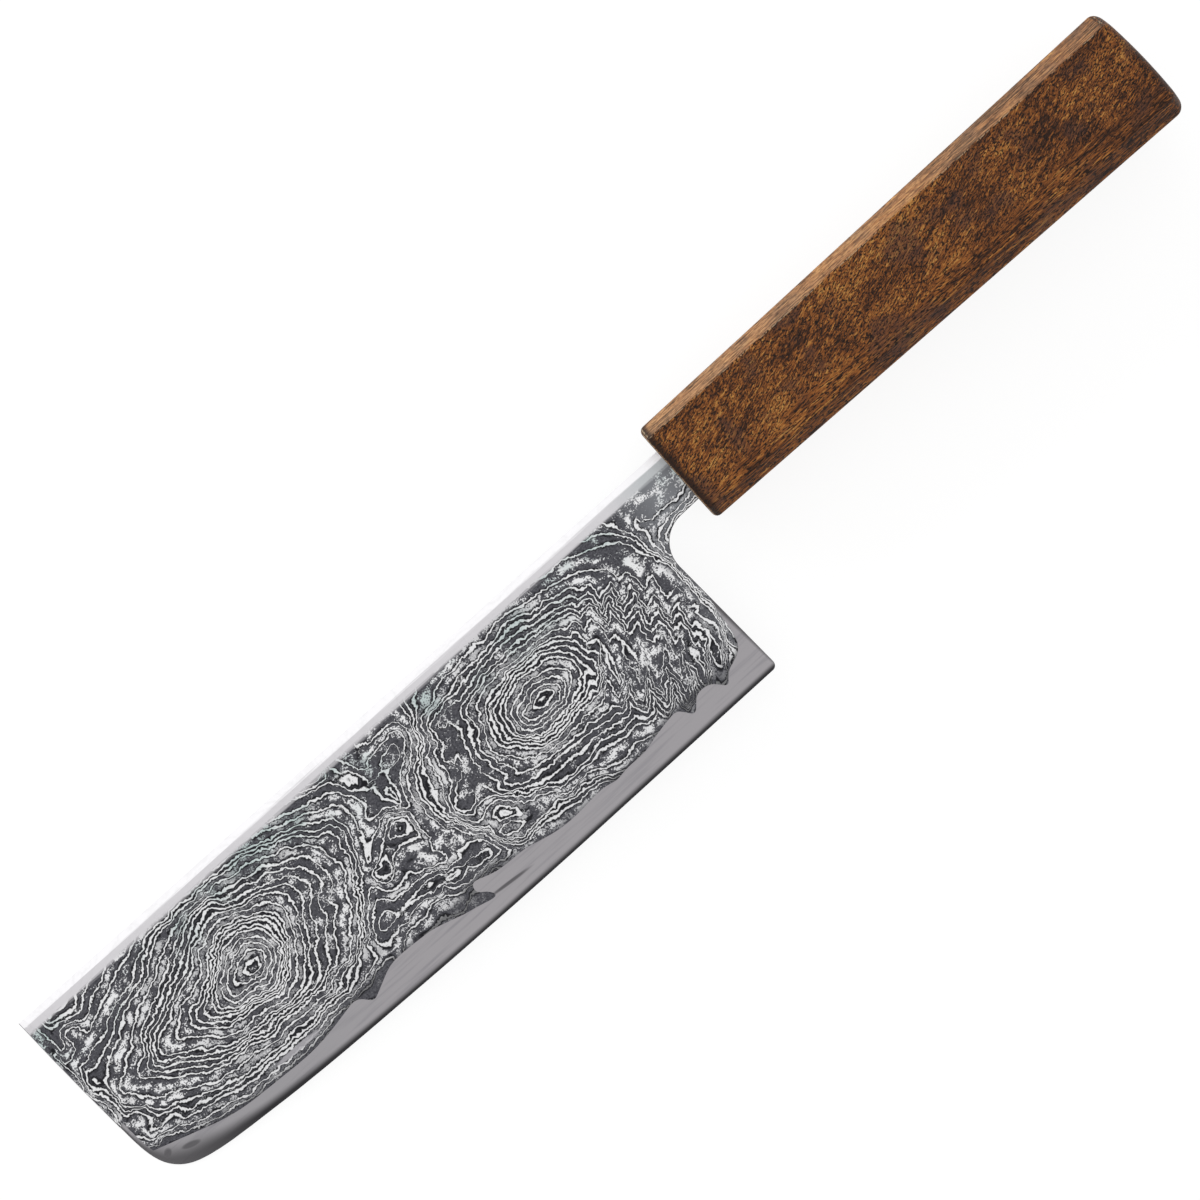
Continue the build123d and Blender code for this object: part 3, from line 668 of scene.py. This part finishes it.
def woodMaterial():
    material, tree, place = newMaterial("oiled desert ironwood")
    x, y = put(tree, "SeparateXYZ", {0: place}).outputs[:2]
    figureTurn = (0, 0, math.radians(ironwood["figureAngle"]))
    turned = put(tree, "Mapping", {"Vector": place, "Rotation": figureTurn}, vector_type="TEXTURE")
    normal = put(tree, "NewGeometry").outputs["Normal"]
    towardsUp = dot(tree, normal, facetUp)
    facet = fade(tree, towardsUp, *facing["facet"])
    # Straight grain below a line that wanders by a few mm and on the upper facet, slanting figure elsewhere
    line = calc(tree, "MULTIPLY_ADD", noise(tree, place, *woodNoise["wander"]), ironwood["lineWander"], y)
    straight = calc(tree, "MAXIMUM", fade(tree, line, *ironwood["straightBelow"]), facet)

    def slantOrStraight(key):
        slanting, running = woodNoise[key]
        return put(tree, "Mix", {"Factor": straight, 2: noise(tree, turned, *slanting),
                                 3: noise(tree, place, *running)})

    # Tone = patches of 14 mm by 8 mm + figure streaks of 10 mm by 1 mm + fine streaks of 2 to 5 mm by
    # 0.3 mm, each times its weight; it darkens towards the butt, and on the lower facet with painted shade
    fine = slantOrStraight("fine")
    tone = calc(tree, "MULTIPLY", noise(tree, place, *woodNoise["patch"]), toneWeights["patch"])
    tone = calc(tree, "MULTIPLY_ADD", slantOrStraight("figure"), toneWeights["figure"], tone)
    tone = calc(tree, "MULTIPLY_ADD", fine, toneWeights["fine"], tone)
    tone = calc(tree, "ADD", fade(tree, x, *towardsButt["tone"]), tone)
    lowerFacetShade = fade(tree, dot(tree, normal, facetDown), *facing["lowerFacetShade"])
    tone = calc(tree, "MULTIPLY_ADD", lowerFacetShade, toneWeights["lowerFacetShade"], tone)
    wood = put(tree, "ValToRGB", {"Fac": tone})
    ramp = wood.color_ramp
    while len(ramp.elements) < len(stops):
        ramp.elements.new(0.5)
    for element, (position, colour) in zip(ramp.elements, stops):
        element.position, element.color = position, linear(ironwood[colour])
    # Purplish heartwood shows in clouds. The upper facet is paler, a painted highlight, most so near the
    # front and where the fine noise is high.
    cloud = fade(tree, noise(tree, place, *woodNoise["cloud"]), *woodFades["cloud"])
    colour = blend(tree, cloud, wood, ironwood["purple"])
    paintedFacetSheen = calc(tree, "MULTIPLY", fade(tree, fine, *woodFades["paintedFacetSheen"]), fade(tree, x, *facing["paintedFacetSheen"]))
    colour = blend(tree, calc(tree, "MULTIPLY", facet, paintedFacetSheen), colour, ironwood["facet"])
    # The line round the front edge is a painted highlight for 0.4 mm; behind it a dark band fades out by
    # 3 mm. The butt's rounded end is darker, partly its end grain and partly painted shade where it rounds
    # over.
    front = fade(tree, x, 0, frontBand["reach"])
    ends = calc(tree, "MAXIMUM", curveThrough(tree, front, frontBand["dark"]),
                fade(tree, x, *towardsButt["end"]))
    colour = blend(tree, ends, colour, ironwood["deep"])
    # The ridge below the facet gets a painted highlight where a stretched noise is high
    ridge = calc(tree, "MINIMUM", fade(tree, towardsUp, *facing["ridgeStart"]),
                 fade(tree, towardsUp, *facing["ridgeEnd"]))
    paintedGlint = fade(tree, noise(tree, place, *woodNoise["glintBreakup"]), *woodFades["glintBreakup"])
    paintedGlint = calc(tree, "MULTIPLY", ridge, paintedGlint)
    paintedGlintMask = calc(tree, "MAXIMUM", curveThrough(tree, front, frontBand["paintedGlintMask"]), paintedGlint)
    colour = blend(tree, paintedGlintMask, colour, ironwood["paintedGlint"])
    # Pores = dashes 0.6 to 1.1 mm long and 0.3 mm wide, where a noise passes a threshold; fewer on the facet
    pores = calc(tree, "MULTIPLY", fade(tree, slantOrStraight("pores"), *woodFades["pores"]),
                 fade(tree, facet, *facing["pores"]))
    relief = put(tree, "Bump", {"Height": calc(tree, "SUBTRACT", fine, pores),
                                "Strength": ironwood["reliefStrength"], "Distance": ironwood["relief"] * mm})
    shade(tree, {"Base Color": blend(tree, pores, colour, ironwood["pore"]), "Normal": relief,
                 "Roughness": ironwood["roughness"], "Specular IOR Level": ironwood["specular"]})
    return material


handle.data.materials.append(woodMaterial())

# Bedding: dark brown epoxy round the tang, level with the handle's front, clouded at 1 mm
epoxy = {"dark": "#1b1411", "light": "#2e231c", "roughness": 0.35, "clouds": (0.9, 2)}  # per mm, detail
material, tree, place = newMaterial("cured epoxy")
clouded = blend(tree, noise(tree, place, *epoxy["clouds"]), epoxy["dark"], epoxy["light"])
shade(tree, {"Base Color": clouded, "Roughness": epoxy["roughness"]})
dress("tang_bedding", material)
print("handle and bedding dressed")

# Camera straight above the middle of the knife, 0.8 m over the blade face
camera = {"place": (-3.60, 6.37, 809), "turn": -41.83, "lens": 118.14, "sensor": 36,  # mm, degrees, mm, mm
          "clip": (0.01, 20)}  # m
eye = bpy.data.objects.new("camera", bpy.data.cameras.new("camera"))
eye.location = Vector(camera["place"]) * mm
eye.rotation_euler = (0, 0, math.radians(camera["turn"]))
eye.data.lens, eye.data.sensor_width = camera["lens"], camera["sensor"]
eye.data.clip_start, eye.data.clip_end = camera["clip"]
bpy.context.scene.collection.objects.link(eye)
bpy.context.scene.camera = eye
print("camera placed")


def seenStraight(tree):
    # 1 for what the camera sees straight, in a gloss or through a clear thing, 0 for what lights the knife
    path = put(tree, "LightPath").outputs
    seen = calc(tree, "MAXIMUM", path["Is Camera Ray"], path["Is Glossy Ray"])
    return calc(tree, "MAXIMUM", seen, path["Is Transmission Ray"])


# Light: an even white surround, and one large soft box beyond the spine
light = {"surround": 0.74, "boxPower": 9, "boxPlace": (-0.10, 1.05, 0.36), "boxSize": (1.6, 0.6)}  # W, m, m
white = (1, 1, 1, 1)
world = bpy.data.worlds.new("surround")
tree = emptyTree(world)
strength = fade(tree, seenStraight(tree), 0, 1, light["surround"], 1)
put(tree, "OutputWorld", {"Surface": put(tree, "Background", {"Color": white, "Strength": strength})})
bpy.context.scene.world = world

lamp = bpy.data.objects.new("softBox", bpy.data.lights.new("softBox", "AREA"))
lamp.data.shape = "RECTANGLE"
lamp.data.size, lamp.data.size_y = light["boxSize"]
lamp.data.energy = light["boxPower"]
lamp.location = light["boxPlace"]
lamp.rotation_euler = (-lamp.location).to_track_quat("-Z", "Y").to_euler()
bpy.context.scene.collection.objects.link(lamp)

# Floor: white paper. To the camera and in gloss it glows most of the way to white, and the rest is its lit
# surface, which keeps a faint shadow of the knife
paper = {"half": 3, "lit": (0.85, 0.85, 0.86, 1), "seen": (0.18, 0.18, 0.18, 1),  # m, linear colours
         "glow": 0.86, "roughness": 0.9}
floorMesh = bpy.data.meshes.new("floor")
corners = [(x * paper["half"], y * paper["half"], 0) for x, y in ((-1, -1), (1, -1), (1, 1), (-1, 1))]
floorMesh.from_pydata(corners, [], [(0, 1, 2, 3)])
floor = bpy.data.objects.new("floor", floorMesh)
bpy.context.scene.collection.objects.link(floor)
material = bpy.data.materials.new("white paper")
tree = emptyTree(material)
seen = seenStraight(tree)
shade(tree, {"Base Color": blend(tree, seen, paper["lit"], paper["seen"]), "Roughness": paper["roughness"],
             "Emission Color": white, "Emission Strength": fade(tree, seen, 0, 1, 0, paper["glow"])})
floorMesh.materials.append(material)
bpy.context.scene.view_settings.view_transform = "Standard"
print("light and floor placed")
